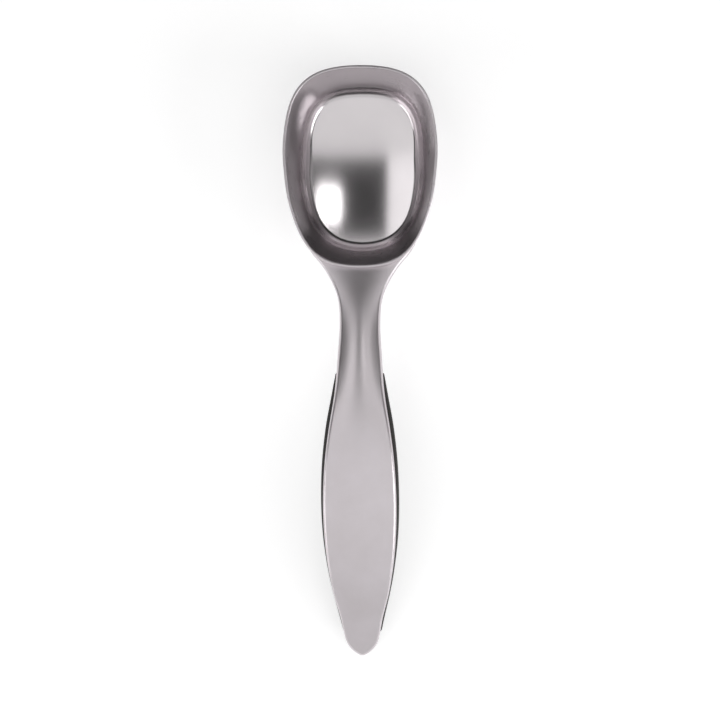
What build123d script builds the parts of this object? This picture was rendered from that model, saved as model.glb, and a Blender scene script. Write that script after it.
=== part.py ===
from build123d import *
import os
import math
import numpy as np
import time

# Ice scoop, stored lying on a table: the bowl stands on its flat foot, the arched
# handle comes down again so that the heel of the grip touches the same plane.
# Millimetres. X is across, +Y runs from the handle to the bowl, Z is up, and z = 0
# is the table. The rim of the bowl is level.

# ---------------------------------------------------------------- bowl
SHEET = 1.3              # sheet of the drawn bowl
RIM_Z = 28.5             # height of the rim
RIM_ROUND = 0.5          # rounding of the sheet's edge at the rim
Y_BOWL = 76.0            # centre the two outlines below are written about
# radius of the rim's outer outline: c0 + sum(c_k * sin(k a) for odd k, cos(k a) for even k)
RIM_C = (35.4181, 1.0485, -5.2863, 0.7938, -0.749, -0.2827, 0.5598, -0.0499, -0.1305, 0.1011, -0.0289)
# radius of the edge of the floor, written the same way
FLOOR_C = (25.0515, 1.2343, -4.5067, 0.1426, -0.6858, -0.3524, 0.3894)
FLOOR_A, FLOOR_B = 20.2, 28.6   # half axes of the dished floor's level curves
FLOOR_RISE = 2.2         # how much the floor rises from its centre to its edge
FLOOR_Z0 = SHEET         # lowest point of the inside
FOOT_COIN = 0.45         # how far the outside is flattened to make the foot
CORNER_R = 8.5           # inside radius between floor and wall
CREASE = 0.45            # how steeply (rad) that radius leaves the crease round the floor
FLOOR_STEP = 0.35        # floor stands this far above where the radius would run out level
N_RING = 40

# ---------------------------------------------------------------- handle
SHELL_T = 1.3            # sheet of the handle shell
SEAM = 0.04              # joint along the parting line
EDGE_R = 1.2             # rolled upper edge of the shell
NECK_T = 1.2             # sheet of the closing shell under the neck
NECK_END = -3.5          # where that shell stops and the grip starts
NECK_BOTTOM_R = 2.4
GRIP_END = -106.14       # blunt end of the grip
GRIP_WALL = 2.4          # thickness of the soft grip
GRIP_TOP_R = 0.8
CORE_GAP = 0.10          # core inside the grip
CORE_SHELL_GAP = 0.20
CORE_WALL = 1.8
CORE_FLOOR = 2.0
FLARE_END = 46.5         # the saddle stops here, under the rim

# half width of the steel shell at stations along Y
STEEL_W = ((43.46, 19.40), (40.31, 16.86), (37.17, 14.40), (34.04, 12.42), (30.92, 10.72), (27.8, 9.38),
           (24.69, 8.50), (21.58, 8.03), (18.49, 7.86), (12.31, 7.90), (6.15, 8.30), (0.0, 8.70),
           (-6.0, 9.10), (-13.78, 9.98), (-21.43, 11.22), (-29.09, 12.36), (-36.77, 13.25), (-44.47, 13.82),
           (-52.24, 14.11), (-60.05, 14.08), (-67.95, 13.73), (-75.92, 13.02), (-84.0, 11.85), (-92.16, 10.22),
           (-100.45, 8.08), (-104.0, 7.45), (-107.4, 6.80))
STEEL_TIP = ((6.05, -109.95), (5.40, -111.15), (4.50, -112.40), (3.25, -113.65), (1.60, -114.85))
TIP_Y = -115.4
# half width of the soft grip, which stands about 1 mm proud of the steel all round
GRIP_W = ((-3.5, 9.35), (-7.71, 10.12), (-13.87, 11.25), (-21.57, 12.68), (-29.27, 13.75), (-37.01, 14.52),
          (-44.75, 14.94), (-52.57, 15.08), (-60.43, 14.93), (-68.39, 14.42), (-76.41, 13.50), (-84.54, 12.20),
          (-92.75, 10.48), (-101.09, 8.50), (-106.14, 7.45))
# height of the shell's top along the centre line
TOP_Z = ((50.0, 22.6), (45.0, 24.6), (36.0, 27.2), (25.0, 30.1), (14.0, 32.5), (4.0, 34.1), (-6.0, 35.2),
         (-18.0, 35.95), (-30.0, 36.0), (-46.0, 34.55), (-62.0, 31.1), (-78.0, 25.9), (-93.0, 19.7),
         (-106.0, 13.4), (-120.0, 6.1))
# the top falls by k * x^2 away from the centre line
CROWN = ((50.0, 0.004), (45.0, 0.004), (36.0, 0.008), (28.0, 0.018), (20.0, 0.034), (13.0, 0.044), (6.0, 0.044),
         (-2.0, 0.037), (-15.0, 0.021), (-31.0, 0.0105), (-46.0, 0.0072), (-62.0, 0.0064), (-78.0, 0.0066),
         (-93.0, 0.008), (-106.0, 0.012), (-120.0, 0.015))
# depth of the parting line under the top
PART_D = ((50.0, 4.2), (40.0, 4.8), (28.0, 5.2), (14.0, 5.4), (0.0, 5.3), (-15.0, 5.0), (-31.0, 4.9), (-60.0, 4.8),
          (-90.0, 4.8), (-106.0, 4.9), (-120.0, 4.9))
# underside along the centre line: neck, then grip
NECK_Z = ((50.0, 5.5), (44.0, 9.6), (38.0, 13.0), (31.0, 16.4), (22.0, 20.1), (14.0, 22.5), (6.0, 24.0), (-4.0, 24.7),
          (-12.0, 24.4))
NECK_CROWN = ((50.0, 0.0178), (44.0, 0.0190), (38.0, 0.0215), (31.0, 0.024), (22.0, 0.022), (14.0, 0.020), (4.0, 0.018),
              (-12.0, 0.014))
GRIP_Z = ((4.0, 25.1), (-5.0, 24.7), (-15.0, 24.1), (-31.0, 21.8), (-46.0, 18.8), (-62.0, 14.9), (-78.0, 10.2),
          (-88.0, 6.5), (-95.0, 3.2), (-99.5, 0.95), (-103.0, -0.15), (-106.14, -0.45), (-112.0, -0.6))
GRIP_CROWN = ((4.0, 0.014), (-20.0, 0.013), (-60.0, 0.012), (-85.0, 0.010), (-97.0, 0.006), (-103.0, 0.0), (-112.0, 0.0))

# radius of the grip's lower edges
GRIP_LOW_R = ((4.0, 2.4), (-3.5, 2.6), (-15.0, 3.4), (-31.0, 4.8), (-50.0, 5.5), (-85.0, 5.2), (-106.14, 4.6), (-112.0, 4.5))

# ---------------------------------------------------------------- fasteners (M3)
SCREW_Y = (-25.0, -85.0)  # stations of the two screws
STUD_R = 3.0
STUD_L = 4.2
THREAD_R = 1.5            # wall of the tapped hole
SHANK_R = 1.45
SHANK_L = 6.0
HEAD_R = 2.8
HEAD_H = 2.4
WASHER_R, WASHER_RI, WASHER_T = 3.5, 1.6, 0.5
WEB_T = 1.8               # core between the stud and the washer
CLEAR_R = 1.7
CBORE_R = 3.8
BOSS_R = 5.6
POCKETS = ((-8.5, -17.5), (-19.1, -30.9), (-32.5, -42.5), (-44.1, -54.1), (-55.7, -65.7), (-67.3, -77.3),
           (-78.9, -91.1), (-92.7, -99.5))


# ---------------------------------------------------------------- curves
class Curve:
    """Natural cubic spline through (y, value) stations."""

    def __init__(self, knots):
        k = sorted(knots)
        self.t = np.array([p[0] for p in k], float)
        self.v = np.array([p[1] for p in k], float)
        n = len(k)
        h = np.diff(self.t)
        a = np.zeros((n, n))
        b = np.zeros(n)
        a[0, 0] = a[-1, -1] = 1.0
        for i in range(1, n - 1):
            a[i, i - 1], a[i, i], a[i, i + 1] = h[i - 1], 2 * (h[i - 1] + h[i]), h[i]
            b[i] = 6 * ((self.v[i + 1] - self.v[i]) / h[i] - (self.v[i] - self.v[i - 1]) / h[i - 1])
        self.m = np.linalg.solve(a, b)

    def _seg(self, y):
        i = int(np.searchsorted(self.t, y)) - 1
        return min(max(i, 0), len(self.t) - 2)

    def __call__(self, y):
        i = self._seg(y)
        h = self.t[i + 1] - self.t[i]
        p, q = (self.t[i + 1] - y) / h, (y - self.t[i]) / h
        return float(p * self.v[i] + q * self.v[i + 1]
                     + ((p ** 3 - p) * self.m[i] + (q ** 3 - q) * self.m[i + 1]) * h * h / 6)

    def d(self, y):
        i = self._seg(y)
        h = self.t[i + 1] - self.t[i]
        p, q = (self.t[i + 1] - y) / h, (y - self.t[i]) / h
        return float((self.v[i + 1] - self.v[i]) / h
                     + (-(3 * p * p - 1) * self.m[i] + (3 * q * q - 1) * self.m[i + 1]) * h / 6)


def polar(c, a):
    r = c[0]
    for k in range(1, len(c)):
        r += c[k] * (math.sin(k * a) if k % 2 else math.cos(k * a))
    return r


def rim_half_width(y):
    lo, hi = -math.pi / 2, 0.0
    for _ in range(60):
        mid = (lo + hi) / 2
        if Y_BOWL + polar(RIM_C, mid) * math.sin(mid) < y:
            lo = mid
        else:
            hi = mid
    return polar(RIM_C, lo) * math.cos(lo)


TOP = Curve(TOP_Z)
CRN = Curve(CROWN)
PART = Curve(PART_D)
NECK = Curve(NECK_Z)
NECKC = Curve(NECK_CROWN)
GRIPB = Curve(GRIP_Z)
GRIPC = Curve(GRIP_CROWN)
GRIPR = Curve(GRIP_LOW_R)


T0 = time.time()


def stamp(what):
    print("   [%5.1f s] %s" % (time.time() - T0, what), flush=True)


def top_z(x, y, down=0.0):
    return TOP(y) - CRN(y) * x * x - down * math.sqrt(1 + TOP.d(y) ** 2)


def part_z(x, y):
    return TOP(y) - PART(y)


def neck_z(x, y, up=0.0):
    return NECK(y) + NECKC(y) * x * x + up * math.sqrt(1 + NECK.d(y) ** 2)


def grip_z(x, y, up=0.0):
    return GRIPB(y) + GRIPC(y) * x * x + up * math.sqrt(1 + GRIPB.d(y) ** 2)


# ---------------------------------------------------------------- builders
def height_block(zfun, up, x1=34.0, y0=-124.0, y1=54.0, nx=5, ny=41):
    """Everything above (up > 0) or below (up < 0) a surface z(x, y)."""
    rows = []
    for j in range(ny):
        y = y0 + (y1 - y0) * j / (ny - 1)
        rows.append([(x, y, zfun(x, y)) for x in (-x1 + 2 * x1 * i / (nx - 1) for i in range(nx))])
    face = Face.make_surface_from_array_of_points(rows, tol=2e-3)
    return Solid.extrude(face, Vector(0, 0, up))


def dense_outline(pts, n=700):
    """Right-hand outline points (front to tip) and their mirror image, as a fine polyline."""
    full = list(pts) + [(-x, y) for x, y in reversed(pts) if x > 1e-9]
    p = np.array(full, float)
    s = np.concatenate([[0], np.cumsum(np.hypot(*np.diff(p, axis=0).T))])
    cx, cy = Curve(list(zip(s, p[:, 0]))), Curve(list(zip(s, p[:, 1])))
    u = np.linspace(0, s[-1], n)
    return np.array([(cx(v), cy(v)) for v in u])


class Plan:
    """A plan outline: distance of a point inside it from its edge, and half widths."""

    def __init__(self, poly):
        self.a, self.b = poly[:-1], poly[1:]
        self.ab = self.b - self.a
        self.l2 = (self.ab ** 2).sum(1)
        right = poly[poly[:, 0] >= 0]
        self.ry, self.rx = right[::-1, 1], right[::-1, 0]

    def dist(self, x, y):
        p = np.array([x, y])
        t = np.clip(((p - self.a) * self.ab).sum(1) / self.l2, 0, 1)
        return float(np.sqrt((((self.a + self.ab * t[:, None]) - p) ** 2).sum(1)).min())

    def half(self, y, inset=0.0):
        w = float(np.interp(y, self.ry, self.rx))
        if inset <= 0:
            return w
        lo, hi = 0.0, w
        if self.dist(0.0, y) <= inset:
            return 0.0
        for _ in range(40):
            mid = (lo + hi) / 2
            if self.dist(mid, y) > inset:
                lo = mid
            else:
                hi = mid
        return lo


def roll(d, r):
    """Drop of a rounded edge of radius r at distance d from it."""
    return 0.0 if d >= r else r - math.sqrt(max(0.0, r * r - (r - d) ** 2))


PHI = [math.radians(v) for v in (0, 13, 27, 42, 57, 73, 90)]


def across(plan, y, inset, r):
    """Sample places across a section: close together on the rounded edges."""
    w = plan.half(y, inset)
    e = 0.2
    sec = math.hypot(1, (plan.half(y + e, inset) - plan.half(y - e, inset)) / (2 * e)) if w > 4 else 1.0
    rw = min(r * min(sec, 2.0), 0.6 * w)
    xs = [w - rw * (1 - math.cos(f)) for f in PHI]
    xs += [xs[-1] * f for f in (0.93, 0.8, 0.6, 0.4, 0.2)]
    return w, [-x for x in xs] + [0.0] + xs[::-1]


def arch_section(plan, y, inset, r, surf, z_end, sign):
    """Closed wire at station y: a crowned side with rounded corners, closed by a flat side
    at z_end. sign = -1 rounds a top downwards, +1 rounds an underside upwards."""
    w, xs = across(plan, y, inset, r)
    pts = []
    for i, x in enumerate(xs):
        d = 0.0 if i in (0, len(xs) - 1) else plan.dist(x, y) - inset
        pts.append((x, y, surf(x, y) + sign * roll(max(d, 0.0), r)))
    arch = Spline(*pts)
    p0, p1 = pts[0], pts[-1]
    q0, q1 = (p0[0], y, z_end), (p1[0], y, z_end)
    return Wire([arch, Line(p1, q1), Line(q1, q0), Line(q0, p0)])


def arch_loft(plan, ys, inset, r, surf, zfun, sign):
    return Solid.make_loft([arch_section(plan, y, inset, r, surf, zfun(y), sign) for y in ys], ruled=True)


def one(s):
    """A boolean's result as a single solid: the largest piece."""
    if isinstance(s, Solid):
        return s
    parts = sorted(s.solids(), key=lambda q: -q.volume)
    for q in parts[1:]:
        print("   dropped a piece of", round(q.volume, 4), "mm3")
    return parts[0]


def long_edges(s, test, minlen):
    return [e for e in s.edges() if e.length > minlen and test(e)]


# ---------------------------------------------------------------- bowl
def wall(a, side):
    """Radius of the straight wall at z = 0 and at the rim, and its slope."""
    ro, rf = polar(RIM_C, a), polar(FLOOR_C, a)
    q = (math.cos(a) / FLOOR_A) ** 2 + (math.sin(a) / FLOOR_B) ** 2
    zf = FLOOR_Z0 + FLOOR_RISE * rf * rf * q
    cx, cz = rf - CORNER_R * math.sin(CREASE), zf + CORNER_R * math.cos(CREASE)
    rad, rt = (CORNER_R, ro - SHEET * 1.03) if side == "in" else (CORNER_R + SHEET, ro)
    L = math.hypot(rt - cx, RIM_Z - cz)
    b = math.atan2(RIM_Z - cz, rt - cx) + math.asin(rad / L)
    return rt - RIM_Z / math.tan(b), rt, b


def ring(radius, z):
    pts = []
    for i in range(N_RING):
        a = 2 * math.pi * i / N_RING
        pts.append((radius(a) * math.cos(a), Y_BOWL + radius(a) * math.sin(a), z))
    return Wire([Spline(*pts, periodic=True)])


def dish(z0, rise, up=60):
    return height_block(lambda x, y: z0 + rise * ((x / FLOOR_A) ** 2 + ((y - Y_BOWL) / FLOOR_B) ** 2), up,
                        x1=45.0, y0=Y_BOWL - 55, y1=Y_BOWL + 55, nx=5, ny=5)


def corner_edge(s):
    return [e for e in s.edges() if e.length > 100 and e.is_closed and 1 < e.center().Z < 8]


run_on = 3.0
bowl_in = Solid.make_loft([ring(lambda a: wall(a, "in")[0], 0.0),
                           ring(lambda a: wall(a, "in")[1] + run_on / math.tan(wall(a, "in")[2]), RIM_Z + run_on)],
                          ruled=True)
bowl_out = Solid.make_loft([ring(lambda a: wall(a, "out")[0], 0.0), ring(lambda a: wall(a, "out")[1], RIM_Z)],
                           ruled=True)
floor_edge_drop = SHEET / math.cos(math.atan(2 * FLOOR_RISE / 22.0))
bowl_in = one(bowl_in & dish(FLOOR_Z0 - FLOOR_STEP, FLOOR_RISE))
bowl_out = one(bowl_out & dish(-FOOT_COIN, FOOT_COIN + FLOOR_Z0 + FLOOR_RISE - FLOOR_STEP - floor_edge_drop))
bowl_in = bowl_in.fillet(CORNER_R, corner_edge(bowl_in))
bowl_in = one(bowl_in & dish(FLOOR_Z0, FLOOR_RISE))
bowl_out = bowl_out.fillet(CORNER_R + SHEET, corner_edge(bowl_out))
bowl = one(bowl_out - bowl_in)
bowl = bowl.fillet(RIM_ROUND, [e for e in bowl.edges() if abs(e.center().Z - RIM_Z) < 0.05 and e.length > 60])
print("bowl", bowl.is_valid, round(bowl.volume, 1))

# ---------------------------------------------------------------- steel shell
flare = [(rim_half_width(y) - 0.35, y) for y in (52.0, 49.5, 47.2, 45.2)]
STEEL = Plan(dense_outline(flare + [(w, y) for y, w in STEEL_W] + list(STEEL_TIP) + [(0.0, TIP_Y)]))


def steps(*runs):
    """Stations from runs of (from, to, step), falling."""
    out = []
    for a, b, d in runs:
        n = max(1, int(round((a - b) / d)))
        out += [a + (b - a) * i / n for i in range(n)]
    return out + [runs[-1][1]]


ys_out = steps((FLARE_END, 30.5, 2.0), (30.5, 20, 2.6), (20, -10, 3.0), (-10, -104, 3.9), (-104, -110, 2.0),
               (-110, -113, 1.0), (-113, -115, 0.5), (-115, TIP_Y + 0.06, 0.17))
shell_out = arch_loft(STEEL, ys_out, 0.0, EDGE_R, top_z, lambda y: part_z(0, y), -1)
stamp("shell outer %s %.0f" % (shell_out.is_valid, shell_out.volume))


def shell_inside(inset, low, y_front=FLARE_END + 3):
    """The space inside the shell, reaching low mm under the parting line."""
    ys = steps((y_front, 30.5, 2.0), (30.5, 20, 2.6), (20, -10, 3.0), (-10, -104, 3.9), (-104, -110, 2.0),
               (-110, -112.5, 0.8), (-112.5, TIP_Y + inset + 0.12, 0.35))
    if y_front < 40:
        ys = steps((y_front, -104, 3.9), (-104, -110, 2.0), (-110, -112.5, 0.8), (-112.5, TIP_Y + inset + 0.12, 0.35))
    return arch_loft(STEEL, ys, inset, max(EDGE_R - SHELL_T, 0.0) + 0.4, lambda x, y: top_z(x, y, inset),
                     lambda y: part_z(0, y) - low, -1)


cavity = shell_inside(SHELL_T, 3.0)
stamp("cavity %s %.0f" % (cavity.is_valid, cavity.volume))
handle_shell = one(shell_out - cavity)
stamp("minus cavity")
handle_shell = one(handle_shell - bowl_out)
stamp("shell %s %.0f" % (handle_shell.is_valid, handle_shell.volume))

# ---------------------------------------------------------------- closing shell under the neck
ys_neck = steps((FLARE_END, 30.5, 2.0), (30.5, 20, 2.6), (20, NECK_END, 2.9))
neck_out = arch_loft(STEEL, ys_neck, 0.0, NECK_BOTTOM_R, neck_z, lambda y: part_z(0, y) - SEAM, 1)
ys_neck = steps((FLARE_END + 3, 30.5, 2.0), (30.5, 20, 2.6), (20, NECK_END - 2, 2.9))
neck_cav = arch_loft(STEEL, ys_neck, NECK_T, NECK_BOTTOM_R - NECK_T, lambda x, y: neck_z(x, y, NECK_T),
                     lambda y: part_z(0, y) + 3.0, 1)
neck_shell = one(one(neck_out - neck_cav) - bowl_out)
stamp("neck shell %s %.0f" % (neck_shell.is_valid, neck_shell.volume))

# ---------------------------------------------------------------- soft grip
GRIPW = Curve([(y, w) for y, w in GRIP_W])


def grip_half(y):
    """Half width of the grip, with the blunt end's corners rounded in plan."""
    d = y - GRIP_END
    return GRIPW(y) - roll(max(d, 0.0), 1.3)


def grip_section(y, wall_t, top, flat_top):
    """Closed wire at station y. wall_t insets it from the outside of the grip."""
    w = grip_half(y) if wall_t <= 0 else GRIPW(y) - wall_t * math.hypot(1, GRIPW.d(y))
    r = max(GRIPR(y) - wall_t, 0.5)
    zt = part_z(0, y) + top
    xs = [w - r * (1 - math.cos(f)) for f in PHI]
    xs += [xs[-1] * f for f in (0.93, 0.8, 0.6, 0.4, 0.2)]
    half = []
    for i, x in enumerate(xs):
        z = grip_z(x, y, wall_t) + roll(w - x, r) if i else grip_z(w, y, wall_t) + r
        half.append((x, z))
    rt = flat_top
    upper = []
    if rt > 0:
        upper = [(w - rt + rt * math.cos(f), zt - rt + rt * math.sin(f))
                 for f in (math.pi / 2, 1.2, 0.8, 0.4, 0.0)]
    else:
        upper = [(w, zt)]
    zl = half[0][1]
    side = [(w, upper[-1][1] + (zl - upper[-1][1]) * f) for f in (0.33, 0.66)]
    right = upper + side + half
    pts = [(x, y, z) for x, z in right] + [(0.0, y, grip_z(0, y, wall_t))]
    pts += [(-x, y, z) for x, z in reversed(right)]
    return Wire([Spline(*pts), Line(pts[-1], pts[0])])


def grip_loft(wall_t, y_front, y_end, top, flat_top):
    fine = [y_end + 1.3, y_end + 0.8, y_end + 0.45, y_end + 0.2, y_end + 0.05, y_end] if wall_t <= 0 else [y_end]
    ys = steps((y_front, -92, 3.8), (-92, -103.5, 1.6))[:-1]
    ys = [y for y in ys if y > fine[0] + 0.8] + fine
    return Solid.make_loft([grip_section(y, wall_t, top, flat_top) for y in ys], ruled=True)


grip_out = grip_loft(0.0, NECK_END, GRIP_END, -2 * SEAM, GRIP_TOP_R)
grip_out = one(grip_out & Solid.make_box(80, 120, 60, Plane((-40, -112, 0))))
stamp("grip outer %s %.0f" % (grip_out.is_valid, grip_out.volume))
grip_cav = grip_loft(GRIP_WALL, NECK_END - 2.0, GRIP_END + GRIP_WALL, 3.0, 0.0)
stamp("grip cavity %s %.0f" % (grip_cav.is_valid, grip_cav.volume))
soft_grip = one(grip_out - grip_cav)
stamp("soft grip %s %.0f" % (soft_grip.is_valid, soft_grip.volume))

# ---------------------------------------------------------------- core, studs, screws, washers
core_low = grip_loft(GRIP_WALL + CORE_GAP, NECK_END - 2.0 - CORE_GAP, GRIP_END + GRIP_WALL + CORE_GAP, 0.0, 0.0)
core_high = shell_inside(SHELL_T + CORE_SHELL_GAP, 0.0, NECK_END - 2.0 - CORE_GAP)
stamp("core blanks %s %s" % (core_low.is_valid, core_high.is_valid))
core = one(core_low + core_high)
stamp("core %s %.0f" % (core.is_valid, core.volume))


def pocket(a, b):
    """Space between two ribs, open at the top."""
    ins = SHELL_T + CORE_SHELL_GAP + CORE_WALL
    secs = []
    for y in (a, (2 * a + b) / 3, (a + 2 * b) / 3, b):
        w = STEEL.half(y, ins)
        pts = [(x, y, grip_z(x, y, GRIP_WALL + CORE_GAP + CORE_FLOOR) + (1.2 if abs(x) == w else 0.0))
               for x in (w, w * 0.8, w * 0.4, 0.0, -w * 0.4, -w * 0.8, -w)]
        zt = TOP(y) + 3
        secs.append(Wire.make_polygon([(w, y, zt)] + pts + [(-w, y, zt)], close=True))
    return Solid.make_loft(secs, ruled=True)


def station(y):
    """Frame on the inside of the shell's top: z is the local normal, pointing out."""
    sl = TOP.d(y)
    n = Vector(0, -sl, 1).normalized()
    return Plane(origin=(0, y, top_z(0, y, SHELL_T)), x_dir=(1, 0, 0), z_dir=n)


def cyl(pl, r, z0, z1):
    """Cylinder on the station's axis between two depths (negative is down)."""
    base = pl.offset(z0)
    return Solid.make_cylinder(r, z1 - z0, base)


studs, screws, washers, bosses, holes = [], [], [], [], []
for y in SCREW_Y:
    pl = station(y)
    s = one(cyl(pl, STUD_R, -STUD_L, 1.0) & cavity) - cyl(pl, THREAD_R, -STUD_L - 1, -0.4)
    studs.append(one(s))
    z_web = -STUD_L - WEB_T
    z_head = z_web - WASHER_T
    washers.append(one(cyl(pl, WASHER_R, z_head, z_web) - cyl(pl, WASHER_RI, z_head - 1, z_web + 1)))
    head = cyl(pl, HEAD_R, z_head - HEAD_H, z_head)
    head = head.fillet(0.9, [e for e in head.edges() if e.is_closed and abs(pl.to_local_coords(
        e.position_at(0.3)).Z - (z_head - HEAD_H)) < 0.05])
    cross_a = Solid.make_box(3.2, 0.7, 1.5, pl.offset(z_head - HEAD_H - 0.1).shift_origin(
        pl.offset(z_head - HEAD_H - 0.1).from_local_coords((-1.6, -0.35, 0))))
    cross_b = Solid.make_box(0.7, 3.2, 1.5, pl.offset(z_head - HEAD_H - 0.1).shift_origin(
        pl.offset(z_head - HEAD_H - 0.1).from_local_coords((-0.35, -1.6, 0))))
    scr = one(head - cross_a - cross_b)
    shank = cyl(pl, SHANK_R, z_head - 0.2, z_head + SHANK_L)
    shank = shank.chamfer(0.4, None, [e for e in shank.edges() if e.is_closed and abs(pl.to_local_coords(
        e.position_at(0.3)).Z - (z_head + SHANK_L)) < 0.05])
    screws.append(one(scr + shank))
    bosses.append(cyl(pl, BOSS_R, -16, 4))
    holes.append(cyl(pl, STUD_R + 0.3, -STUD_L, 4))
    holes.append(cyl(pl, CLEAR_R, z_web - 1, 0))
    holes.append(cyl(pl, CBORE_R, -20, z_web))
for a, b in POCKETS:
    cut = pocket(a, b)
    for q in bosses:
        if q.bounding_box().min.Y < a and q.bounding_box().max.Y > b:
            rest = cut - q
            cut = rest
    core = one(core - cut)
for h in holes:
    core = one(core - h)
stamp("core %s %.0f" % (core.is_valid, core.volume))

os.makedirs("parts", exist_ok=True)
export_step(bowl, "parts/bowl.step")
export_step(handle_shell, "parts/handle_shell.step")
export_step(neck_shell, "parts/neck_underside_shell.step")
export_step(soft_grip, "parts/soft_grip.step")
export_step(core, "parts/handle_core.step")
export_step(Compound(children=studs), "parts/weld_studs.step")
export_step(Compound(children=screws), "parts/core_screws.step")
export_step(Compound(children=washers), "parts/washers.step")
for nm, s in (("bowl", bowl), ("handle_shell", handle_shell), ("neck", neck_shell), ("grip", soft_grip), ("core", core)):
    bb = s.bounding_box()
    print(nm, [round(v, 2) for v in (bb.min.X, bb.min.Y, bb.min.Z, bb.max.X, bb.max.Y, bb.max.Z)])
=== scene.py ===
import math

import bpy
import numpy as np
from mathutils import Matrix, Vector


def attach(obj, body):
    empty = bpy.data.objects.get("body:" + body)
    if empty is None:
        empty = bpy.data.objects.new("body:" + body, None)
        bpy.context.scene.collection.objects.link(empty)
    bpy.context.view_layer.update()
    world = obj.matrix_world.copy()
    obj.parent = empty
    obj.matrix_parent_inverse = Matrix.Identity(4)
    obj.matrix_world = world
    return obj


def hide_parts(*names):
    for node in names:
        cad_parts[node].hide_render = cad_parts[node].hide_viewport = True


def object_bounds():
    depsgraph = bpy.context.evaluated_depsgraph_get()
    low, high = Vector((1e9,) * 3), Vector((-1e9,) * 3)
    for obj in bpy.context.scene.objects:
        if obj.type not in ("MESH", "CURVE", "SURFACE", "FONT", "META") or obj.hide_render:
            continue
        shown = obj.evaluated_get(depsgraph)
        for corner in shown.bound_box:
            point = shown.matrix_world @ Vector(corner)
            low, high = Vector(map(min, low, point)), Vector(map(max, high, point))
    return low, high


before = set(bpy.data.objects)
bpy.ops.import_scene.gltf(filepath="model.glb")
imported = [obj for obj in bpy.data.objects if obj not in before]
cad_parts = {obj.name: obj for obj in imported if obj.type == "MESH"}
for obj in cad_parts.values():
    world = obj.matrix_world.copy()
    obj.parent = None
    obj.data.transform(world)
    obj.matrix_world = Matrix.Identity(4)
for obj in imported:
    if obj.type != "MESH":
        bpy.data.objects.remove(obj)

CAD_BOX = [list(v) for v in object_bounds()]
MM = 0.001

# ------------------------------------------------------------------ shape numbers (mm), as in the CAD
SHEET, RIM_Z, RIM_ROUND, Y_BOWL = 1.3, 28.5, 0.5, 76.0
RIM_C = (35.4181, 1.0485, -5.2863, 0.7938, -0.749, -0.2827, 0.5598, -0.0499, -0.1305, 0.1011, -0.0289)
FLOOR_C = (25.0515, 1.2343, -4.5067, 0.1426, -0.6858, -0.3524, 0.3894)
FLOOR_A, FLOOR_B, FLOOR_RISE, FLOOR_Z0, FOOT_COIN, CORNER_R = 20.2, 28.6, 2.2, 1.3, 0.45, 8.5
CREASE = 0.45
SHELL_T, EDGE_R, NECK_T, NECK_END, NECK_BOTTOM_R = 1.3, 1.2, 1.2, -3.5, 2.4
SEAM = 0.04
GRIP_END, GRIP_WALL, GRIP_TOP_R, FLARE_END, TIP_Y = -106.14, 2.4, 0.8, 46.5, -115.4
STEEL_W = ((43.46, 19.40), (40.31, 16.86), (37.17, 14.40), (34.04, 12.42), (30.92, 10.72), (27.8, 9.38),
           (24.69, 8.50), (21.58, 8.03), (18.49, 7.86), (12.31, 7.90), (6.15, 8.30), (0.0, 8.70),
           (-6.0, 9.10), (-13.78, 9.98), (-21.43, 11.22), (-29.09, 12.36), (-36.77, 13.25), (-44.47, 13.82),
           (-52.24, 14.11), (-60.05, 14.08), (-67.95, 13.73), (-75.92, 13.02), (-84.0, 11.85), (-92.16, 10.22),
           (-100.45, 8.08), (-104.0, 7.45), (-107.4, 6.80))
STEEL_TIP = ((6.05, -109.95), (5.40, -111.15), (4.50, -112.40), (3.25, -113.65), (1.60, -114.85))
GRIP_W = ((-3.5, 9.35), (-7.71, 10.12), (-13.87, 11.25), (-21.57, 12.68), (-29.27, 13.75), (-37.01, 14.52),
          (-44.75, 14.94), (-52.57, 15.08), (-60.43, 14.93), (-68.39, 14.42), (-76.41, 13.50), (-84.54, 12.20),
          (-92.75, 10.48), (-101.09, 8.50), (-106.14, 7.45))
TOP_Z = ((50.0, 22.6), (45.0, 24.6), (36.0, 27.2), (25.0, 30.1), (14.0, 32.5), (4.0, 34.1), (-6.0, 35.2),
         (-18.0, 35.95), (-30.0, 36.0), (-46.0, 34.55), (-62.0, 31.1), (-78.0, 25.9), (-93.0, 19.7),
         (-106.0, 13.4), (-120.0, 6.1))
CROWN = ((50.0, 0.004), (45.0, 0.004), (36.0, 0.008), (28.0, 0.018), (20.0, 0.034), (13.0, 0.044), (6.0, 0.044),
         (-2.0, 0.037), (-15.0, 0.021), (-31.0, 0.0105), (-46.0, 0.0072), (-62.0, 0.0064), (-78.0, 0.0066),
         (-93.0, 0.008), (-106.0, 0.012), (-120.0, 0.015))
PART_D = ((50.0, 4.2), (40.0, 4.8), (28.0, 5.2), (14.0, 5.4), (0.0, 5.3), (-15.0, 5.0), (-31.0, 4.9), (-60.0, 4.8),
          (-90.0, 4.8), (-106.0, 4.9), (-120.0, 4.9))
NECK_Z = ((50.0, 5.5), (44.0, 9.6), (38.0, 13.0), (31.0, 16.4), (22.0, 20.1), (14.0, 22.5), (6.0, 24.0), (-4.0, 24.7),
          (-12.0, 24.4))
NECK_CROWN = ((50.0, 0.0178), (44.0, 0.0190), (38.0, 0.0215), (31.0, 0.024), (22.0, 0.022), (14.0, 0.020), (4.0, 0.018),
              (-12.0, 0.014))
GRIP_Z = ((4.0, 25.1), (-5.0, 24.7), (-15.0, 24.1), (-31.0, 21.8), (-46.0, 18.8), (-62.0, 14.9), (-78.0, 10.2),
          (-88.0, 6.5), (-95.0, 3.2), (-99.5, 0.95), (-103.0, -0.15), (-106.14, -0.45), (-112.0, -0.6))
GRIP_CROWN = ((4.0, 0.014), (-20.0, 0.013), (-60.0, 0.012), (-85.0, 0.010), (-97.0, 0.006), (-103.0, 0.0), (-112.0, 0.0))
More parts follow.
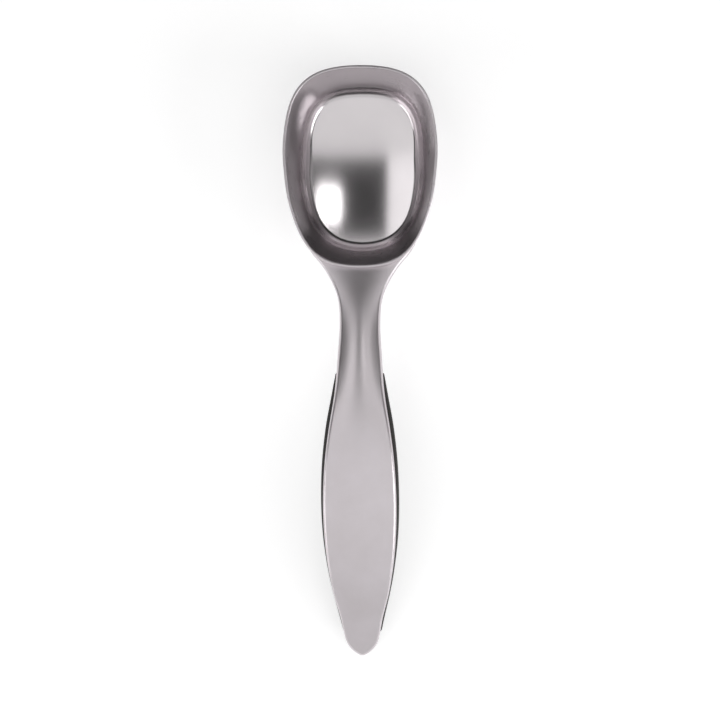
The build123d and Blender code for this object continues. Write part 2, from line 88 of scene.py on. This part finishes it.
GRIP_LOW_R = ((4.0, 2.4), (-3.5, 2.6), (-15.0, 3.4), (-31.0, 4.8), (-50.0, 5.5), (-85.0, 5.2), (-106.14, 4.6), (-112.0, 4.5))


class Curve:
    """Natural cubic spline through (t, value) stations, evaluated on arrays."""

    def __init__(self, knots):
        k = sorted(knots)
        self.t = np.array([p[0] for p in k], float)
        self.v = np.array([p[1] for p in k], float)
        n = len(k)
        h = np.diff(self.t)
        a = np.zeros((n, n))
        b = np.zeros(n)
        a[0, 0] = a[-1, -1] = 1.0
        for i in range(1, n - 1):
            a[i, i - 1], a[i, i], a[i, i + 1] = h[i - 1], 2 * (h[i - 1] + h[i]), h[i]
            b[i] = 6 * ((self.v[i + 1] - self.v[i]) / h[i] - (self.v[i] - self.v[i - 1]) / h[i - 1])
        self.m = np.linalg.solve(a, b)

    def _parts(self, y):
        y = np.asarray(y, float)
        i = np.clip(np.searchsorted(self.t, y) - 1, 0, len(self.t) - 2)
        h = self.t[i + 1] - self.t[i]
        return i, h, (self.t[i + 1] - y) / h, (y - self.t[i]) / h

    def __call__(self, y):
        i, h, p, q = self._parts(y)
        return (p * self.v[i] + q * self.v[i + 1]
                + ((p ** 3 - p) * self.m[i] + (q ** 3 - q) * self.m[i + 1]) * h * h / 6)

    def d(self, y):
        i, h, p, q = self._parts(y)
        return ((self.v[i + 1] - self.v[i]) / h
                + (-(3 * p * p - 1) * self.m[i] + (3 * q * q - 1) * self.m[i + 1]) * h / 6)


def polar(c, a):
    r = np.full_like(np.asarray(a, float), c[0])
    for k in range(1, len(c)):
        r = r + c[k] * (np.sin(k * a) if k % 2 else np.cos(k * a))
    return r


def rim_half_width(y):
    lo, hi = -math.pi / 2, 0.0
    for _ in range(60):
        mid = (lo + hi) / 2
        if Y_BOWL + float(polar(RIM_C, mid)) * math.sin(mid) < y:
            lo = mid
        else:
            hi = mid
    return float(polar(RIM_C, lo)) * math.cos(lo)


TOP, CRN, PART, NECK, NECKC = (Curve(k) for k in (TOP_Z, CROWN, PART_D, NECK_Z, NECK_CROWN))
GRIPB, GRIPC, GRIPR, GRIPW = (Curve(k) for k in (GRIP_Z, GRIP_CROWN, GRIP_LOW_R, GRIP_W))


def top_z(x, y, down=0.0):
    return TOP(y) - CRN(y) * x * x - down * np.sqrt(1 + TOP.d(y) ** 2)


def part_z(y):
    return TOP(y) - PART(y)


def neck_z(x, y, up=0.0):
    return NECK(y) + NECKC(y) * x * x + up * np.sqrt(1 + NECK.d(y) ** 2)


def grip_z(x, y, up=0.0):
    return GRIPB(y) + GRIPC(y) * x * x + up * np.sqrt(1 + GRIPB.d(y) ** 2)


def roll(d, r):
    d = np.clip(d, 0, r)
    return r - np.sqrt(np.maximum(0.0, r * r - (r - d) ** 2))


# ------------------------------------------------------------------ mesh helpers
def new_mesh(name, verts, faces, mat, sharp=38):
    me = bpy.data.meshes.new(name)
    lo, hi = CAD_BOX
    pts = [tuple(min(max(v * MM, lo[k] + 1e-6), hi[k] - 1e-6) for k, v in enumerate(p)) for p in verts]
    me.from_pydata(pts, [], faces)
    me.validate()
    ob = bpy.data.objects.new(name, me)
    bpy.context.scene.collection.objects.link(ob)
    import bmesh
    bm = bmesh.new()
    bm.from_mesh(me)
    bmesh.ops.remove_doubles(bm, verts=bm.verts, dist=2e-7)
    bmesh.ops.dissolve_degenerate(bm, dist=1e-7, edges=bm.edges)
    bmesh.ops.recalc_face_normals(bm, faces=bm.faces)
    bm.to_mesh(me)
    bm.free()
    me.polygons.foreach_set("use_smooth", [True] * len(me.polygons))
    me.set_sharp_from_angle(angle=math.radians(sharp))
    me.materials.append(mat)
    return ob


def grid_faces(rows, cols, base=0, close_cols=False):
    out = []
    for i in range(rows - 1):
        for j in range(cols if close_cols else cols - 1):
            k = (j + 1) % cols
            out.append((base + i * cols + j, base + i * cols + k, base + (i + 1) * cols + k, base + (i + 1) * cols + j))
    return out


# ------------------------------------------------------------------ node helpers
def tree(name):
    mat = bpy.data.materials.new(name)
    mat.use_nodes = True
    nt = mat.node_tree
    return mat, nt, nt.nodes["Principled BSDF"]


def node(nt, kind, **kw):
    n = nt.nodes.new(kind)
    for k, v in kw.items():
        if k in n.inputs:
            n.inputs[k].default_value = v
        else:
            setattr(n, k, v)
    return n


def math_node(nt, op, a, b=None, c=None, clamp=False):
    n = nt.nodes.new("ShaderNodeMath")
    n.operation = op
    n.use_clamp = clamp
    for i, v in enumerate((a, b, c)):
        if v is None:
            continue
        if isinstance(v, (int, float)):
            n.inputs[i].default_value = v
        else:
            nt.links.new(v, n.inputs[i])
    return n.outputs[0]


def noise(nt, coord, scale, detail=3.0, rough=0.55, distort=0.0):
    n = node(nt, "ShaderNodeTexNoise", Scale=scale, Detail=detail, Roughness=rough, Distortion=distort)
    nt.links.new(coord, n.inputs["Vector"])
    return n.outputs["Fac"]


def mapped(nt, coord, scale=(1, 1, 1), rot=(0, 0, 0)):
    n = nt.nodes.new("ShaderNodeMapping")
    n.inputs["Scale"].default_value = scale
    n.inputs["Rotation"].default_value = rot
    nt.links.new(coord, n.inputs["Vector"])
    return n.outputs["Vector"]


def ramp(nt, fac, lo, hi, a=0.0, b=1.0):
    n = nt.nodes.new("ShaderNodeMapRange")
    n.inputs["From Min"].default_value = lo
    n.inputs["From Max"].default_value = hi
    n.inputs["To Min"].default_value = a
    n.inputs["To Max"].default_value = b
    n.clamp = True
    nt.links.new(fac, n.inputs["Value"])
    return n.outputs["Result"]


def mix_colour(nt, fac, c1, c2):
    n = nt.nodes.new("ShaderNodeMix")
    n.data_type = "RGBA"
    nt.links.new(fac, n.inputs["Factor"])
    n.inputs[6].default_value = (*c1, 1)
    n.inputs[7].default_value = (*c2, 1)
    return n.outputs[2]


def bump(nt, height, strength, distance, normal=None):
    n = nt.nodes.new("ShaderNodeBump")
    n.inputs["Strength"].default_value = strength
    n.inputs["Distance"].default_value = distance
    nt.links.new(height, n.inputs["Height"])
    if normal is not None:
        nt.links.new(normal, n.inputs["Normal"])
    return n.outputs["Normal"]


# ------------------------------------------------------------------ materials
def steel_handle():
    mat, nt, b = tree("satin_steel_handle")
    tc = nt.nodes.new("ShaderNodeTexCoord").outputs["Object"]
    b.inputs["Metallic"].default_value = 1.0
    grain = noise(nt, mapped(nt, tc, (9000, 260, 9000)), 1.0, 2.0, 0.6)
    cloud = noise(nt, tc, 45.0, 4.0, 0.6)
    scuff = noise(nt, mapped(nt, tc, (2600, 900, 2600), (0, 0, 0.5)), 1.0, 5.0, 0.7, 0.4)
    col = mix_colour(nt, ramp(nt, cloud, 0.3, 0.7), (0.605, 0.563, 0.580), (0.665, 0.622, 0.648))
    nt.links.new(col, b.inputs["Base Color"])
    r = math_node(nt, "ADD", ramp(nt, grain, 0.3, 0.7, 0.30, 0.37), ramp(nt, cloud, 0.3, 0.7, -0.02, 0.03))
    r = math_node(nt, "ADD", r, ramp(nt, scuff, 0.60, 0.72, 0.0, 0.05), clamp=True)
    nt.links.new(r, b.inputs["Roughness"])
    nrm = bump(nt, grain, 0.10, 0.00002)
    nrm = bump(nt, scuff, 0.05, 0.00002, nrm)
    nt.links.new(nrm, b.inputs["Normal"])
    return mat


def steel_bowl():
    mat, nt, b = tree("drawn_steel_bowl")
    tc = nt.nodes.new("ShaderNodeTexCoord").outputs["Object"]
    sep = nt.nodes.new("ShaderNodeSeparateXYZ")
    nt.links.new(tc, sep.inputs[0])
    z = sep.outputs["Z"]
    b.inputs["Metallic"].default_value = 1.0
    hoop = noise(nt, mapped(nt, tc, (300, 300, 7000)), 1.0, 2.0, 0.6)
    cloud = noise(nt, tc, 60.0, 4.0, 0.6)
    fine = noise(nt, tc, 4200.0, 2.0, 0.5)
    scratch = noise(nt, mapped(nt, tc, (220, 3800, 3800), (0, 0, 0.7)), 1.0, 4.0, 0.7, 0.6)
    # painted light: below z 3.4 mm the floor gets the brighter colour, a painted reflection of the overhead light;
    # above 8.5 mm the wall gets the darker colour, painted shade. The cloud tone inside each colour is real random
    # tone, and the roughness mix further down is the real polished floor finish
    wall_painted_shade_colour = mix_colour(nt, ramp(nt, cloud, 0.3, 0.7), (0.575, 0.538, 0.558), (0.615, 0.578, 0.598))
    floor_painted_highlight_colour = mix_colour(nt, ramp(nt, cloud, 0.3, 0.7), (0.685, 0.650, 0.664), (0.715, 0.680, 0.694))
    up = ramp(nt, z, 0.0034, 0.0085)
    tone = nt.nodes.new("ShaderNodeMix")
    tone.data_type = "RGBA"
    nt.links.new(up, tone.inputs["Factor"])
    nt.links.new(floor_painted_highlight_colour, tone.inputs[6])
    nt.links.new(wall_painted_shade_colour, tone.inputs[7])
    nt.links.new(tone.outputs[2], b.inputs["Base Color"])
    wall = math_node(nt, "ADD", ramp(nt, hoop, 0.3, 0.7, 0.27, 0.31), ramp(nt, cloud, 0.3, 0.7, -0.02, 0.03))
    floor = math_node(nt, "ADD", ramp(nt, fine, 0.3, 0.7, 0.125, 0.15), ramp(nt, scratch, 0.60, 0.75, 0.0, 0.06))
    m = nt.nodes.new("ShaderNodeMix")
    nt.links.new(up, m.inputs["Factor"])
    nt.links.new(floor, m.inputs[2])
    nt.links.new(wall, m.inputs[3])
    nt.links.new(m.outputs[0], b.inputs["Roughness"])
    nrm = bump(nt, hoop, 0.02, 0.00002)
    nrm = bump(nt, fine, 0.03, 0.00001, nrm)
    nt.links.new(nrm, b.inputs["Normal"])
    return mat


def rubber():
    mat, nt, b = tree("black_soft_grip")
    tc = nt.nodes.new("ShaderNodeTexCoord").outputs["Object"]
    fine = noise(nt, tc, 3800.0, 3.0, 0.6)
    soft = noise(nt, tc, 120.0, 4.0, 0.6)
    col = mix_colour(nt, ramp(nt, soft, 0.3, 0.7), (0.030, 0.028, 0.027), (0.043, 0.040, 0.038))
    nt.links.new(col, b.inputs["Base Color"])
    r = math_node(nt, "ADD", ramp(nt, soft, 0.3, 0.7, 0.56, 0.66), ramp(nt, fine, 0.3, 0.7, -0.03, 0.03))
    nt.links.new(r, b.inputs["Roughness"])
    nt.links.new(bump(nt, fine, 0.35, 0.00004), b.inputs["Normal"])
    b.inputs["Sheen Weight"].default_value = 0.15
    b.inputs["Sheen Roughness"].default_value = 0.4
    return mat


def nylon():
    mat, nt, b = tree("moulded_core")
    tc = nt.nodes.new("ShaderNodeTexCoord").outputs["Object"]
    fine = noise(nt, tc, 1800.0, 3.0, 0.6)
    flow = noise(nt, mapped(nt, tc, (200, 30, 200)), 1.0, 3.0, 0.6)
    nt.links.new(mix_colour(nt, ramp(nt, flow, 0.3, 0.7), (0.026, 0.026, 0.028), (0.036, 0.036, 0.038)), b.inputs["Base Color"])
    nt.links.new(ramp(nt, fine, 0.3, 0.7, 0.42, 0.55), b.inputs["Roughness"])
    nt.links.new(bump(nt, fine, 0.25, 0.00004), b.inputs["Normal"])
    return mat


def fastener():
    mat, nt, b = tree("fastener_steel")
    tc = nt.nodes.new("ShaderNodeTexCoord").outputs["Object"]
    turned = noise(nt, mapped(nt, tc, (900, 900, 5000)), 1.0, 2.0, 0.6)
    cloud = noise(nt, tc, 300.0, 3.0, 0.6)
    b.inputs["Metallic"].default_value = 1.0
    nt.links.new(mix_colour(nt, ramp(nt, cloud, 0.3, 0.7), (0.52, 0.52, 0.52), (0.60, 0.60, 0.59)), b.inputs["Base Color"])
    nt.links.new(ramp(nt, turned, 0.3, 0.7, 0.25, 0.38), b.inputs["Roughness"])
    nt.links.new(bump(nt, turned, 0.10, 0.00003), b.inputs["Normal"])
    return mat


M_HANDLE, M_BOWL, M_GRIP, M_CORE, M_FAST = steel_handle(), steel_bowl(), rubber(), nylon(), fastener()


# ------------------------------------------------------------------ bowl
def bowl_profile(a):
    """(r, z) along the inside from the centre to the rim, over it and down the outside."""
    ro, rf = polar(RIM_C, a), polar(FLOOR_C, a)
    q = (np.cos(a) / FLOOR_A) ** 2 + (np.sin(a) / FLOOR_B) ** 2
    slope = np.arctan(2 * FLOOR_RISE * rf * q)
    zf = FLOOR_Z0 + FLOOR_RISE * rf * rf * q
    cx, cz = rf - CORNER_R * np.sin(CREASE), zf + CORNER_R * np.cos(CREASE)

    def line(rad, rt):
        L = np.hypot(rt - cx, RIM_Z - cz)
        return np.arctan2(RIM_Z - cz, rt - cx) + np.arcsin(rad / L)

    ri = ro - SHEET * 1.03
    bi, bo = line(CORNER_R, ri), line(CORNER_R + SHEET, ro)
    pts = []
    for t in np.linspace(0, 1, 46) ** 0.9:
        pts.append((rf * t, FLOOR_Z0 + FLOOR_RISE * (rf * t) ** 2 * q))
    for f in np.linspace(0, 1, 25)[1:]:
        b = CREASE + (bi - CREASE) * f
        pts.append((cx + CORNER_R * np.sin(b), cz - CORNER_R * np.cos(b)))
    ex, ez = pts[-1]
    # fillet on the inner edge of the rim
    k = RIM_ROUND
    # a fillet starts k / tan(corner angle / 2) away from its corner
    ang_i = math.pi - bi          # angle inside the sheet at the inner corner
    di = k / np.tan(ang_i / 2)
    ang_o = bo                    # angle inside the sheet at the outer corner
    do = k / np.tan(ang_o / 2)
    sx, sz = ri - di * np.cos(bi), RIM_Z - di * np.sin(bi)
    for f in np.linspace(0, 1, 26)[1:]:
        pts.append((ex + (sx - ex) * f, ez + (sz - ez) * f))
    # arc centre of the inner fillet lies k below the flat
    ccx, ccz = ri + di, RIM_Z - k
    a0 = np.arctan2(sz - ccz, sx - ccx)
    for f in np.linspace(0, 1, 8)[1:]:
        t = a0 + (math.pi / 2 - a0) * f
        pts.append((ccx + k * np.cos(t), ccz + k * np.sin(t)))
    ox, oz = ro - do, RIM_Z - k
    pts.append(((ccx + ox) / 2, np.full_like(ro, RIM_Z)))
    tx, tz = ro - do * np.cos(bo), RIM_Z - do * np.sin(bo)
    a1 = np.arctan2(tz - oz, tx - ox)
    for f in np.linspace(0, 1, 8):
        t = math.pi / 2 + (a1 - math.pi / 2) * f
        pts.append((ox + k * np.cos(t), oz + k * np.sin(t)))
    R = CORNER_R + SHEET
    gx, gz = cx + R * np.sin(bo), cz - R * np.cos(bo)
    for f in np.linspace(0, 1, 20)[1:]:
        pts.append((tx + (gx - tx) * f, tz + (gz - tz) * f))
    for f in np.linspace(0, 1, 17)[1:]:
        b = bo + (slope - bo) * f
        pts.append((cx + R * np.sin(b), cz - R * np.cos(b)))
    hx, hz = pts[-1]
    tp = np.sqrt(FOOT_COIN / (hz + FOOT_COIN))
    for f in np.linspace(0, 1, 16)[1:]:
        t = 1 + (tp - 1) * f
        pts.append((hx * t, -FOOT_COIN + (hz + FOOT_COIN) * t * t))
    px = pts[-1][0]
    for f in (0.98, 0.8, 0.5, 0.25, 0.0):
        pts.append((px * f, np.zeros_like(ro)))
    return pts


def make_bowl():
    n = 384
    a = np.linspace(0, 2 * math.pi, n, endpoint=False)
    prof = bowl_profile(a)
    verts, rows = [], len(prof)
    for r, z in prof:
        r = np.broadcast_to(r, a.shape)
        z = np.broadcast_to(z, a.shape)
        verts += list(zip(r * np.cos(a), Y_BOWL + r * np.sin(a), z))
    ob = new_mesh("bowl_drawn", verts, grid_faces(rows, n, close_cols=True), M_BOWL, 14)
    return ob


bowl = make_bowl()
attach(bowl, "root")
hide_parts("bowl")


def wall_radius(a, z):
    """Radius of the bowl's outer wall at height z."""
    ro, rf = polar(RIM_C, a), polar(FLOOR_C, a)
    q = (np.cos(a) / FLOOR_A) ** 2 + (np.sin(a) / FLOOR_B) ** 2
    slope = np.arctan(2 * FLOOR_RISE * rf * q)
    zf = FLOOR_Z0 + FLOOR_RISE * rf * rf * q
    cx, cz = rf - CORNER_R * np.sin(CREASE), zf + CORNER_R * np.cos(CREASE)
    L = np.hypot(ro - cx, RIM_Z - cz)
    b = np.arctan2(RIM_Z - cz, ro - cx) + np.arcsin((CORNER_R + SHEET) / L)
    return ro - (RIM_Z - z) / np.tan(b)


def inside_bowl(x, y, z):
    """How far (x, y, z) is inside the bowl's outer wall, in mm."""
    a = np.arctan2(y - Y_BOWL, x)
    return wall_radius(a, z) - np.hypot(x, y - Y_BOWL)


# ------------------------------------------------------------------ outline of the steel
flare = [(rim_half_width(y) - 0.35, y) for y in (52.0, 49.5, 47.2, 45.2)]
_pts = flare + [(w, y) for y, w in STEEL_W] + list(STEEL_TIP) + [(0.0, TIP_Y)]
_full = np.array(_pts + [(-x, y) for x, y in reversed(_pts) if x > 1e-9], float)
_s = np.concatenate([[0], np.cumsum(np.hypot(*np.diff(_full, axis=0).T))])
_cx, _cy = Curve(list(zip(_s, _full[:, 0]))), Curve(list(zip(_s, _full[:, 1])))
_u = np.linspace(0, _s[-1], 1401)
POLY = np.stack([_cx(_u), _cy(_u)], 1)
RIGHT = POLY[:701].copy()
RIGHT[-1] = (0.0, TIP_Y)


def outline_dist(x, y):
    """Distance of points from the outline."""
    p = np.stack([np.ravel(x), np.ravel(y)], 1)
    a, ab = POLY[:-1], POLY[1:] - POLY[:-1]
    l2 = (ab ** 2).sum(1)
    out = np.empty(len(p))
    for i in range(0, len(p), 2000):
        q = p[i:i + 2000, None, :] - a[None]
        t = np.clip((q * ab[None]).sum(2) / l2[None], 0, 1)
        out[i:i + 2000] = np.sqrt(((q - t[..., None] * ab[None]) ** 2).sum(2).min(1))
    return out.reshape(np.shape(x))


def half_width(y):
    return np.interp(y, RIGHT[::-1, 1], RIGHT[::-1, 0])


def plan_rows(y_end, inset, r, n_roll=14, n_in=16):
    """Plan positions of a half skin: rows from the front to y_end (or round the tip), each
    from the edge to the centre line. Returns x, y arrays (rows, cols)."""
    if y_end is None:
        keep = RIGHT
    else:
        keep = RIGHT[RIGHT[:, 1] >= y_end]
        keep = np.vstack([keep, [half_width(y_end), y_end]])
    keep = keep[keep[:, 1] <= FLARE_END]
    keep = np.vstack([[half_width(FLARE_END), FLARE_END], keep])
    # thin out the straight runs
    idx = [0]
    for i in range(1, len(keep)):
        if np.hypot(*(keep[i] - keep[idx[-1]])) > (0.9 if keep[i][1] > -100 else 0.25) or i == len(keep) - 1:
            idx.append(i)
    keep = keep[idx]
    nrm = np.gradient(keep, axis=0)
    nrm /= np.hypot(nrm[:, 0], nrm[:, 1])[:, None]
    inward = np.stack([nrm[:, 1], -nrm[:, 0]], 1)
    if y_end is None:
        inward[-1] = (0.0, 1.0)
    edge = keep + inward * inset
    edge[:, 0] = np.maximum(edge[:, 0], 0.0)
    if inset > 0 and y_end is None:
        edge[-1, 0] = 0.0
    if inset > 0:
        edge[0] = (edge[0, 0], keep[0, 1])
    lim = TIP_Y + 7.5
    cy = np.where(edge[:, 1] > lim, edge[:, 1], lim)
    soft = 2.5
    cy = lim + soft * np.log1p(np.exp(np.clip((edge[:, 1] - lim) / soft, -30, 30)))
    cy = np.where(edge[:, 1] > lim + 25, edge[:, 1], cy)
    if y_end is not None:
        cy = edge[:, 1].copy()
    L = np.hypot(edge[:, 0], cy - edge[:, 1])
    reach = np.minimum(1.25 * r, 0.55 * L)
    fr = 1 - np.cos(np.linspace(0, math.pi / 2, n_roll + 1))
    f1 = fr[None, :] * (reach / L)[:, None]
    f2 = (reach / L)[:, None] + (1 - (reach / L)[:, None]) * np.linspace(0, 1, n_in + 1)[None, 1:]
    f = np.concatenate([f1, f2], 1)
    x = edge[:, :1] * (1 - f)
    y = edge[:, 1:2] + (cy - edge[:, 1])[:, None] * f
    return x, y


def cope(x, y, zfun, depth):
    """Pulls the front rows back so that the skin stops depth mm inside the bowl's outer wall."""
    y0 = 26.0
    x, y = x.copy(), y.copy()
    v = x / half_width(y)
    sel = y > y0
    for j in range(x.shape[1]):
        vj = v[0, j]
        lo, hi = 30.0, FLARE_END
        xx = vj * half_width(hi)
        if inside_bowl(xx, hi, zfun(xx, hi)) <= depth:
            end = hi
        else:
            for _ in range(30):
                mid = (lo + hi) / 2
                xx = vj * half_width(mid)
                if inside_bowl(xx, mid, zfun(xx, mid)) > depth:
                    hi = mid
                else:
                    lo = mid
            end = lo
        m = sel[:, j]
        yy = y0 + (y[m, j] - y0) * (end - y0) / (FLARE_END - y0)
        x[m, j] = v[m, j] * half_width(yy)
        y[m, j] = yy
    return x, y


def skin(name, y_end, surf, sign, r, t, low, mat):
    """A pressed sheet: outer skin, rounded edge, straight skirt to the parting line and the
    same again inside, mirrored about X = 0."""
    layers = []
    for inset in (0.0, t):
        rr = r if inset == 0 else max(r - t, 0.0) + 0.4
        x, y = plan_rows(y_end, inset, rr)

        def zfun(px, py, inset=inset, rr=rr):
            return surf(px, py, inset)

        x, y = cope(x, y, lambda px, py: float(surf(px, py, inset)) + sign * rr * 0.6, 0.55)
        d = outline_dist(x, y) - inset
        d[:, 0] = 0.0
        z = surf(x, y, inset) + sign * roll(d, rr)
        # skirt, from the parting line up (or down) to the edge
        zp = part_z(y[:, 0]) + low
        k = 6
        sk = [zp + (z[:, 0] - zp) * f for f in np.linspace(0, 1, k + 1)[:-1]]
        X = np.concatenate([np.repeat(x[:, :1], k, 1), x], 1)
        Y = np.concatenate([np.repeat(y[:, :1], k, 1), y], 1)
        Z = np.concatenate([np.stack(sk, 1), z], 1)
        layers.append((X, Y, Z))
    rows, cols = layers[0][0].shape
    verts, faces = [], []
    for mirror in (1, -1):
        base0 = len(verts)
        for X, Y, Z in layers:
            verts += list(zip((mirror * X).ravel(), Y.ravel(), Z.ravel()))
        base1 = base0 + rows * cols
        faces += grid_faces(rows, cols, base0) + grid_faces(rows, cols, base1)
        for i in range(rows - 1):      # bottom of the skirt
            faces.append((base0 + i * cols, base0 + (i + 1) * cols, base1 + (i + 1) * cols, base1 + i * cols))
        for j in range(cols - 1):      # front end
            faces.append((base0 + j, base0 + j + 1, base1 + j + 1, base1 + j))
            if y_end is not None:
                o = (rows - 1) * cols
                faces.append((base0 + o + j, base0 + o + j + 1, base1 + o + j + 1, base1 + o + j))
    return new_mesh(name, verts, faces, mat, 42)


shell = skin("handle_shell_pressed", None, top_z, -1, EDGE_R, SHELL_T, 0.0, M_HANDLE)
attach(shell, "root")
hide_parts("handle_shell")

neck = skin("neck_underside_pressed", NECK_END, neck_z, 1, NECK_BOTTOM_R, NECK_T, -SEAM, M_HANDLE)
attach(neck, "root")
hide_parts("neck_underside_shell")


# ------------------------------------------------------------------ soft grip
def grip_loop(y, inset, w_cut, n_side=10, n_arc=14, n_bot=16):
    """Section from the right top corner down the side, along the bottom and up the left."""
    w = float(GRIPW(y)) - (inset * math.hypot(1, float(GRIPW.d(y))) if inset else w_cut)
    r = max(float(GRIPR(y)) - inset, 0.5)
    zt = float(part_z(y)) - 2 * SEAM
    rt = GRIP_TOP_R if inset == 0 else 0.0
    right = []
    if rt:
        right += [(w - rt + rt * math.cos(f), zt - rt + rt * math.sin(f)) for f in np.linspace(math.pi / 2, 0, 9)]
    else:
        right += [(w, zt - 0.002 * i) for i in range(9)]
    zl = float(grip_z(w, y, inset)) + r
    z0 = right[-1][1]
    right += [(w, z0 + (zl - z0) * f) for f in np.linspace(0, 1, n_side + 1)[1:]]
    for f in np.linspace(0, math.pi / 2, n_arc + 1)[1:]:
        x = w - r * (1 - math.cos(f))
        right.append((x, float(grip_z(x, y, inset)) + float(roll(w - x, r))))
    xb = right[-1][0]
    for f in np.linspace(1, 0, n_bot + 1)[1:]:
        x = xb * f
        right.append((x, float(grip_z(x, y, inset))))
    if inset == 0:
        right = [(x, max(z, 0.0)) for x, z in right]
    return right + [(-x, z) for x, z in reversed(right[:-1])]


def make_grip():
    ends = 1.3
    y_front, y_back = NECK_END, GRIP_END
    ys = list(y_front + -(1 - np.cos(np.linspace(0, math.pi / 2, 7))) * 0.6)
    ys += list(np.arange(y_front - 1.2, y_back + ends + 0.4, -1.0))
    ys += list(y_back + ends - ends * np.sin(np.linspace(0, math.pi / 2, 9)))
    # the two walls that close the hollow
    wall_f, wall_b = NECK_END - 2.0, GRIP_END + GRIP_WALL
    ys = sorted(set(round(v, 5) for v in ys + [wall_f, wall_f - 0.02, wall_b, wall_b + 0.02]), reverse=True)
    loops = []
    for y in ys:
        cut = float(roll(np.array(y - y_back), ends)) + float(roll(np.array(y_front - y), 0.6)) * 0.8
        outer = grip_loop(y, 0.0, cut)
        zt = float(part_z(y)) - 2 * SEAM
        hollow = wall_b + 0.01 < y < wall_f - 0.01
        if hollow:
            inner = grip_loop(y, GRIP_WALL, 0.0)
        else:
            m = len(outer)
            wi = float(GRIPW(y)) - GRIP_WALL * math.hypot(1, float(GRIPW.d(y)))
            inner = [(wi * (1 - 2 * i / (m - 1)), zt) for i in range(m)]
        loops.append((y, outer, inner))
    n = len(loops[0][1])
    verts, faces = [], []
    for y, outer, inner in loops:
        verts += [(x, y, z) for x, z in outer] + [(x, y, z) for x, z in reversed(inner)]
    cols = 2 * n
    faces = grid_faces(len(loops), cols, 0, close_cols=True)
    for row in (0, len(loops) - 1):
        b = row * cols
        for k in range(n - 1):
            faces.append((b + k, b + k + 1, b + cols - 2 - k, b + cols - 1 - k))
    return new_mesh("soft_grip_moulded", verts, faces, M_GRIP, 45)


grip = make_grip()
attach(grip, "root")
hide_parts("soft_grip")

# ------------------------------------------------------------------ carried-over CAD nodes
for name, mat in (("handle_core", M_CORE), ("weld_studs", M_FAST), ("core_screws", M_FAST), ("washers", M_FAST)):
    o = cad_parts[name]
    o.data.materials.clear()
    o.data.materials.append(mat)

# ------------------------------------------------------------------ floor, light, camera
floor_me = bpy.data.meshes.new("floor")
s = 3.0
floor_me.from_pydata([(-s, -s, 0), (s, -s, 0), (s, s, 0), (-s, s, 0)], [], [(0, 1, 2, 3)])
floor = bpy.data.objects.new("floor", floor_me)
bpy.context.scene.collection.objects.link(floor)
fm, nt, b = tree("pale_floor")
b.inputs["Base Color"].default_value = (0.86, 0.86, 0.86, 1)
b.inputs["Roughness"].default_value = 0.9
b.inputs["Specular IOR Level"].default_value = 0.1
b.inputs["Emission Color"].default_value = (1, 1, 1, 1)
b.inputs["Emission Strength"].default_value = 0.46
floor_me.materials.append(fm)

scene = bpy.context.scene
scene.view_settings.view_transform = "Standard"
scene.view_settings.look = "None"
world = bpy.data.worlds.new("studio")
scene.world = world
world.use_nodes = True
bg = world.node_tree.nodes["Background"]
bg.inputs["Color"].default_value = (1, 1, 1, 1)
bg.inputs["Strength"].default_value = 0.04


def area(name, loc, target, size, size_y, radiance, spread=180):
    """Softbox whose face has the given radiance."""
    li = bpy.data.lights.new(name, "AREA")
    li.shape = "RECTANGLE"
    li.size, li.size_y = size, size_y
    li.energy = radiance * size * size_y * math.pi
    li.spread = math.radians(spread)
    o = bpy.data.objects.new(name, li)
    o.location = loc
    o.rotation_euler = (Vector(target) - Vector(loc)).to_track_quat("-Z", "Y").to_euler()
    scene.collection.objects.link(o)
    return o


def sheet(name, x0, x1, y0, y1, z, radiance):
    """Softbox lying level at height z over the given patch."""
    return area(name, ((x0 + x1) / 2, (y0 + y1) / 2, z), ((x0 + x1) / 2, (y0 + y1) / 2 + 1e-5, 0), x1 - x0, y1 - y0, radiance)


# softboxes overhead: a big one over the handle, one to the left of the bowl, a strip beyond it,
# and the smaller key to the front right; the gap between them stays dark
sheet("box_handle", -1.15, 1.05, -1.25, 0.112, 1.0, 0.86)
sheet("box_left", -0.95, -0.240, 0.112, 0.50, 1.0, 1.2)
sheet("box_right", 0.43, 0.85, 0.112, 0.55, 1.0, 1.1)
sheet("box_strip", -0.235, 0.42, 0.405, 0.49, 1.0, 0.95)
sheet("key", 0.13, 0.31, 0.222, 0.335, 1.0, 4.8)
area("box_back", (0, -1.45, 0.55), (0, 0.0, 0.12), 2.6, 1.0, 0.72)
area("fill_left", (-1.35, -0.62, 0.58), (0, 0.0, 0.05), 0.95, 0.66, 2.6)
area("fill_right", (1.35, -0.55, 0.58), (0, 0.0, 0.05), 0.90, 0.66, 4.6)
area("side_left", (-1.20, 0.50, 0.95), (0, 0.02, 0.03), 0.7, 0.35, 0.35)
area("side_right", (1.10, 0.45, 0.95), (0, 0.02, 0.03), 0.7, 0.35, 0.35)

cam = bpy.data.cameras.new("camera")
cam.sensor_width = 36.0
cam.lens = 2133.5 / 720 * 36.0
cam.dof.use_dof = False
co = bpy.data.objects.new("camera", cam)
co.location = (0.040, 0.00145, 0.850)
aim = Vector((-0.00135, 0.00145, 0.0))
back = (Vector(co.location) - aim).normalized()
side = Vector((0, 1, 0)).cross(back).normalized()
up = back.cross(side)
co.rotation_euler = Matrix((side, up, back)).transposed().to_euler()
scene.collection.objects.link(co)
scene.camera = co
